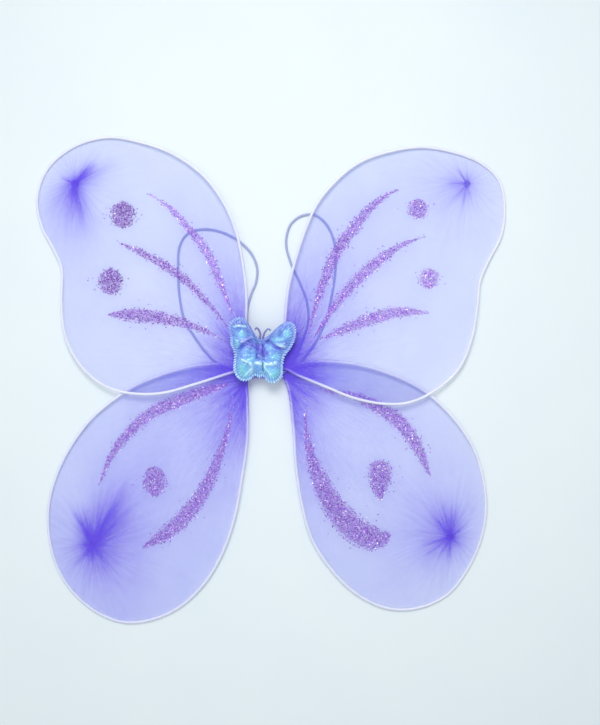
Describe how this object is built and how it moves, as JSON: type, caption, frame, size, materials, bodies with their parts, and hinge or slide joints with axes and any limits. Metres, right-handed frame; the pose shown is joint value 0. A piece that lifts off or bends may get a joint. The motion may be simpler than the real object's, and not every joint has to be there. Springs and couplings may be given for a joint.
{
  "type": "fairy wings",
  "caption": "Dress-up fairy wings: nylon-covered wire lobes on a small hub with a padded butterfly, and elastic arm loops behind.",
  "frame": {"origin": "Under the hub, on the back patch's flat face, which rests on the surface that the wings lie on.", "axes": "+Z out of the front of the wings, away from the wearer's back; +Y to the top of the wings; +X to the right as seen from the front."},
  "size_m": [0.4783, 0.4962, 0.0244],
  "materials": {
    "wire_sheath": "satin",
    "nylon": "satin",
    "nylon_gathered": "satin",
    "thread": "matte",
    "glitter": "gloss",
    "elastic": "matte",
    "felt": "matte",
    "wrap_tape": "satin",
    "glue": "gloss",
    "backing_film": "satin",
    "wadding": "matte",
    "ornament_film": "gloss"
  },
  "bodies": {
    "hub": {"back_patch": "felt", "hub_wrap": "wrap_tape", "glue_pad": "glue", "ornament_backing": "backing_film", "ornament_padding": "wadding", "ornament_film": "ornament_film", "ornament_antenna_left": "ornament_film", "ornament_antenna_right": "ornament_film", "left_strap": "elastic", "right_strap": "elastic", "left_strap_knot": "elastic", "right_strap_knot": "elastic", "upper_left_wire_root": "wire_sheath", "upper_left_sleeve_root": "nylon_gathered", "upper_left_root_tie": "thread", "upper_right_wire_root": "wire_sheath", "upper_right_sleeve_root": "nylon_gathered", "upper_right_root_tie": "thread", "lower_left_wire_root": "wire_sheath", "lower_left_sleeve_root": "nylon_gathered", "lower_left_root_tie": "thread", "lower_right_wire_root": "wire_sheath", "lower_right_sleeve_root": "nylon_gathered", "lower_right_root_tie": "thread"},
    "upper_left_lobe": {"upper_left_wire": "wire_sheath", "upper_left_sleeve": "nylon", "upper_left_toe_knot": "nylon_gathered", "upper_left_glitter_streak_1": "glitter", "upper_left_glitter_streak_2": "glitter", "upper_left_glitter_streak_3": "glitter", "upper_left_glitter_dot_1": "glitter", "upper_left_glitter_dot_2": "glitter"},
    "upper_right_lobe": {"upper_right_wire": "wire_sheath", "upper_right_sleeve": "nylon", "upper_right_toe_knot": "nylon_gathered", "upper_right_glitter_streak_1": "glitter", "upper_right_glitter_streak_2": "glitter", "upper_right_glitter_streak_3": "glitter", "upper_right_glitter_dot_1": "glitter", "upper_right_glitter_dot_2": "glitter"},
    "lower_left_lobe": {"lower_left_wire": "wire_sheath", "lower_left_sleeve": "nylon", "lower_left_toe_knot": "nylon_gathered", "lower_left_glitter_streak_1": "glitter", "lower_left_glitter_streak_2": "glitter", "lower_left_glitter_dot_1": "glitter"},
    "lower_right_lobe": {"lower_right_wire": "wire_sheath", "lower_right_sleeve": "nylon", "lower_right_toe_knot": "nylon_gathered", "lower_right_glitter_streak_1": "glitter", "lower_right_glitter_streak_2": "glitter", "lower_right_glitter_dot_1": "glitter"}
  },
  "joints": [
    {"name": "upper_left_bend", "type": "hinge", "parent": "hub", "child": "upper_left_lobe", "pos_m": [-0.02998, 0.03898, 0.0103], "axis": [0.2372, 0.9713, -0.0175], "range_deg": [0, 45]},
    {"name": "upper_right_bend", "type": "hinge", "parent": "hub", "child": "upper_right_lobe", "pos_m": [0.02973, 0.03848, 0.01033], "axis": [0.1646, -0.9862, 0.0189], "range_deg": [0, 45]},
    {"name": "lower_left_bend", "type": "hinge", "parent": "hub", "child": "lower_left_lobe", "pos_m": [-0.0325, -0.008, 0.00693], "axis": [-0.6449, 0.7643, 0.0034], "range_deg": [0, 36]},
    {"name": "lower_right_bend", "type": "hinge", "parent": "hub", "child": "lower_right_lobe", "pos_m": [0.0355, -0.00475, 0.00692], "axis": [-0.6021, -0.7984, -0.0036], "range_deg": [0, 36]}
  ],
  "couplings": [
    {"joint": "lower_left_bend", "follows": "upper_left_bend", "ratio": 0.8},
    {"joint": "lower_right_bend", "follows": "upper_right_bend", "ratio": 0.8}
  ]
}
